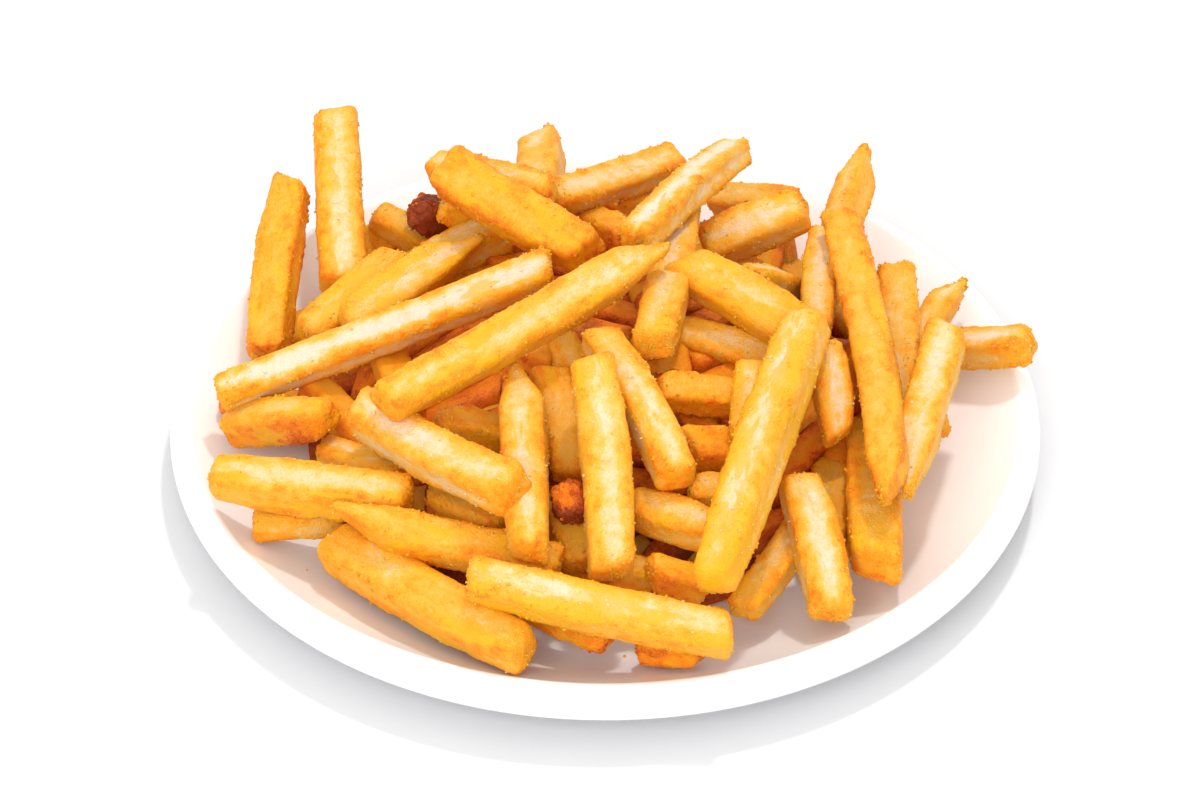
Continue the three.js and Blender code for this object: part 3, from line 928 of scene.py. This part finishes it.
def fried_potato(name, look):
    """A golden crust: browning and painted shade from the mesh, mottled, with oily patches and dark
    specks.
    """
    nodes = Nodes(name)
    place = nodes.attribute("place").outputs["Vector"]
    browning_and_shade = nodes.attribute("browning_and_shade").outputs["Fac"]
    stretched = nodes.add("ShaderNodeMapping")
    stretched.inputs["Scale"].default_value = (0.4, 1, 1)
    nodes.link(place, stretched.inputs["Vector"])
    stretched = stretched.outputs["Vector"]
    mottle = nodes.noise(place, 2.2 * MM, detail=4, roughness=0.6)
    blotch = nodes.step(nodes.noise(stretched, 5 * MM, detail=3, roughness=0.6), 0.5, 0.58)
    grain = nodes.noise(place, 0.5 * MM, detail=3, roughness=0.65)
    shade = browning_and_shade
    for pattern, middle, strength in ((mottle, 0.5, 0.45), (grain, 0.5, 0.44), (blotch, 0.0, 0.12)):
        change = nodes.math("SUBTRACT", pattern, middle)
        shade = nodes.math("ADD", shade, nodes.math("MULTIPLY", change, strength * look.mottled))
    colour = nodes.ramp(shade, CRUST_COLOURS)

    # Oil soaks in patches with clear edges
    soak = nodes.noise(stretched, 6.5 * MM, detail=3, roughness=0.55, distortion=0.4)
    edge = 0.65 - 0.22 * look.oil
    soaked = nodes.step(soak, edge, edge + 0.06)
    not_burnt = nodes.math("SUBTRACT", 1.0, nodes.step(browning_and_shade, 0.6, 0.8))
    soaked = nodes.math("MULTIPLY", soaked, not_burnt)
    colour = nodes.blend(nodes.math("MULTIPLY", soaked, 0.72), colour, OIL_COLOUR)

    # A few dark specks
    spots = nodes.add("ShaderNodeTexVoronoi", feature="F1")
    nodes.set(spots, Scale=1 / (3.2 * MM))
    nodes.link(place, spots.inputs["Vector"])
    speck = nodes.math("SUBTRACT", 1.0, nodes.step(spots.outputs["Distance"], 0.05, 0.09))
    rare = nodes.step(nodes.noise(place, 6 * MM), 0.61, 0.65)
    speck = nodes.math("MULTIPLY", speck, nodes.math("MULTIPLY", rare, 0.75))
    colour = nodes.blend(speck, colour, SPECK_COLOUR)
    nodes.link(colour, nodes.shader.inputs["Base Color"])

    roughness = nodes.math("ADD", 0.5, nodes.math("MULTIPLY", grain, 0.16))
    roughness = nodes.math("SUBTRACT", roughness, nodes.math("MULTIPLY", soaked, 0.2))
    nodes.link(roughness, nodes.shader.inputs["Roughness"])
    pores = nodes.noise(place, 0.28 * MM, detail=2, roughness=0.6)
    normal = nodes.bump(grain, 0.5 * MM, 1.0)
    normal = nodes.bump(pores, 0.08 * MM, 0.5, normal)
    nodes.link(normal, nodes.shader.inputs["Normal"])
    nodes.set(nodes.shader, Subsurface_Weight=0.4, Subsurface_Scale=2.2 * MM, IOR=1.45)
    nodes.shader.inputs["Subsurface Radius"].default_value = (1.0, 0.45, 0.15)
    nodes.set(nodes.shader, Specular_IOR_Level=0.3, Coat_Weight=0.06, Coat_Roughness=0.32)
    return nodes.material


def plate_glaze():
    """White glazed porcelain: nearly even, with a faint unevenness in colour and gloss."""
    nodes = Nodes("plate_glaze")
    place = nodes.add("ShaderNodeTexCoord").outputs["Object"]
    cloud = nodes.noise(place, 30 * MM, detail=3)
    colour = nodes.ramp(cloud, [(0.3, (0.90, 0.895, 0.89)), (0.7, (0.93, 0.925, 0.92))])
    nodes.link(colour, nodes.shader.inputs["Base Color"])
    dimple = nodes.noise(place, 7 * MM, detail=2)
    nodes.link(nodes.bump(dimple, 0.06 * MM, 0.5), nodes.shader.inputs["Normal"])
    gloss = nodes.math("ADD", 0.12, nodes.math("MULTIPLY", cloud, 0.08))
    nodes.link(gloss, nodes.shader.inputs["Roughness"])
    nodes.set(nodes.shader, IOR=1.5, Coat_Weight=0.3, Coat_Roughness=0.06)
    return nodes.material


def floor_paint():
    """Matt pale grey, nearly even."""
    nodes = Nodes("floor_paint")
    place = nodes.add("ShaderNodeTexCoord").outputs["Object"]
    cloud = nodes.noise(place, 400 * MM, detail=2)
    colour = nodes.ramp(cloud, [(0.3, (0.68, 0.68, 0.70)), (0.7, (0.70, 0.70, 0.72))])
    nodes.link(colour, nodes.shader.inputs["Base Color"])
    nodes.set(nodes.shader, Roughness=0.9)
    return nodes.material


# Pieces

def turned_piece(profile, segments):
    """Points and faces of a closed profile from the axis round to the axis, turned about Z."""
    rings = [(r, z) for r, z in profile if r > 0]
    angles = np.linspace(0, 2 * math.pi, segments, endpoint=False)
    grid = np.array([[(r * math.cos(t), r * math.sin(t), z) for t in angles] for r, z in rings])
    ends = [(0, 0, profile[0][1]), (0, 0, profile[-1][1])]
    return np.concatenate([grid.reshape(-1, 3), ends]), ring_faces(len(rings), segments)


def plate_profile():
    """The plate's section, from the axis underneath, out over the foot to the roll, and back on top."""
    inner = FOOT_INNER - FOOT_SPREAD
    outer = FOOT_OUTER + FOOT_SPREAD - FOOT_ROUNDING
    turns = [math.pi / 2 * i / FOOT_STEPS for i in range(FOOT_STEPS + 1)]
    under = [(0, FOOT_RECESS), (inner - 1 * MM, FOOT_RECESS)]
    for turn in turns:
        under.append((inner + FOOT_ROUNDING * (1 - math.cos(turn)), FOOT_RECESS * (1 - math.sin(turn))))
    for turn in turns:
        under.append((outer + FOOT_ROUNDING * math.sin(turn), FOOT_RECESS * (1 - math.cos(turn))))
    over = [(0, WELL_TOP), (WELL_RADIUS * 0.5, WELL_TOP)]
    for i in range(WALL_STEPS):
        radius = mix(WELL_RADIUS, WALL_END, i / WALL_STEPS)
        over.append((radius, plate_top(radius)))
        if 0 < i < WALL_STEPS - 3:
            under.append((radius, plate_top(radius) - WALL_THICKNESS))
    roll = []
    for i in range(ROLL_STEPS + 1):
        turn = math.pi * (0.5 - ROLL_HALF_TURNS * i / ROLL_STEPS)
        radius = WALL_END + ROLL_RADIUS * math.cos(turn)
        roll.append((radius, ROLL_HEIGHT + ROLL_RADIUS * math.sin(turn)))
    return under + roll[::-1] + over[::-1]


def add_plate():
    """One glazed piece in place of the plate's solid."""
    points, faces = turned_piece(plate_profile(), PLATE_SEGMENTS)
    parts = [(points, faces, np.zeros(len(points)), points)]
    plate = mesh_piece("plate_glazed", parts, plate_glaze())
    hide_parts("plate")


def core_mesh():
    """The lumpy mass under the fries, from the plate up to a little below the dome."""
    edge = CORE_INSET * HEAP_RADIUS * math.sqrt(1 - (WELL_TOP + CORE_DROP - HEAP_EDGE) / HEAP_RISE)
    bottom = WELL_TOP + CORE_GAP
    profile = [(0, bottom), (edge * 0.5, bottom), (edge, bottom)]
    for i in range(CORE_STEPS, -1, -1):
        radius = edge * i / CORE_STEPS
        height = dome_top(HEAP_CENTRE[0] + radius / CORE_INSET, HEAP_CENTRE[1]) - CORE_DROP
        profile.append((radius, max(height, bottom + CORE_GAP)))
    points, faces = turned_piece(profile, CORE_SEGMENTS)
    points[:, 0] += HEAP_CENTRE[0]
    points[:, 1] += HEAP_CENTRE[1]
    (broad, high), (narrow, low) = CORE_LUMPS
    lumps = waves(points / MM, broad, 31) * high + waves(points / MM, narrow, 32) * low
    points[:, 2] += np.where(points[:, 2] > bottom + 2 * CORE_GAP, lumps, 0)
    points[:, 2] = np.maximum(points[:, 2], bottom)
    # Painted shade: the core is coloured near burnt, so the gaps where it shows read as deep shade
    # between the fries
    shades = LOOKS["core"].brown + 0.03 * waves(points / MM, 4, 33)
    return points, faces, shades, points


def add_fries():
    """One piece for each look of fry; together they stand for the heap."""
    fries = settled_heap() + buried_fries()
    crumbs = [loose_crumbs()]
    for look, kind in LOOKS.items():
        parts = []
        for item in fries:
            if item.look == look:
                body, clinging = fry_mesh(item)
                parts.append(body)
                if clinging:
                    crumbs.append(clinging)
        if look == "core":
            parts.append(core_mesh())
        material = fried_potato(f"fried_{look}", kind)
        mesh_piece(f"fries_{look}", parts, material)
    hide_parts("fries_heap")
    material = fried_potato("fried_crumbs", LOOKS["golden"])
    mesh_piece("fries_crumbs", crumbs, material)


# Studio

SENSOR_WIDTH = 36
DAYLIGHT = (1.0, 0.985, 0.955)
DAYLIGHT_STRENGTH = 1.04
WARM = (1.0, 0.985, 0.95)
WHITE = (1.0, 1.0, 1.0)
AIM_HEIGHT = 20 * MM
FLOOR_REACH = 3.0


def add_camera():
    """The photo's view, from in front and above."""
    data = bpy.data.cameras.new("camera")
    data.sensor_width = SENSOR_WIDTH
    data.lens = VIEW_FOCAL / IMAGE_WIDTH * SENSOR_WIDTH
    camera = bpy.data.objects.new("camera", data)
    turn = Matrix((VIEW_RIGHT, VIEW_UPWARD, -VIEW_FORWARD)).transposed()
    camera.matrix_world = Matrix.Translation(VIEW_EYE) @ turn.to_4x4()
    bpy.context.scene.collection.objects.link(camera)
    bpy.context.scene.camera = camera


def add_area_light(name, place, size, power, colour):
    """A square light of a size in metres and a power in watts, aimed at the heap."""
    data = bpy.data.lights.new(name, "AREA")
    data.size = size
    data.energy = power
    data.color = colour
    light = bpy.data.objects.new(name, data)
    light.location = place
    aim = Vector((0, 0, AIM_HEIGHT)) - light.location
    light.rotation_euler = aim.to_track_quat("-Z", "Y").to_euler()
    bpy.context.scene.collection.objects.link(light)


def add_studio():
    """Even daylight with two soft lights, and a pale floor."""
    scene = bpy.context.scene
    scene.view_settings.view_transform = "Standard"
    world = bpy.data.worlds.new("studio")
    world.use_nodes = True
    background = world.node_tree.nodes["Background"]
    background.inputs["Color"].default_value = (*DAYLIGHT, 1)
    background.inputs["Strength"].default_value = DAYLIGHT_STRENGTH
    scene.world = world
    add_area_light("key", (0.25, 0.5, 1.68), 0.14, 11, WARM)
    add_area_light("front", (-0.3, -1.4, 0.95), 1.2, 19, WHITE)

    floor = bpy.data.objects.new("floor", bpy.data.meshes.new("floor"))
    corners = [(x * FLOOR_REACH, y * FLOOR_REACH, 0) for x, y in ((-1, -1), (1, -1), (1, 1), (-1, 1))]
    floor.data.from_pydata(corners, [], [(0, 1, 2, 3)])
    floor.data.materials.append(floor_paint())
    scene.collection.objects.link(floor)


add_camera()
add_studio()
add_plate()
add_fries()
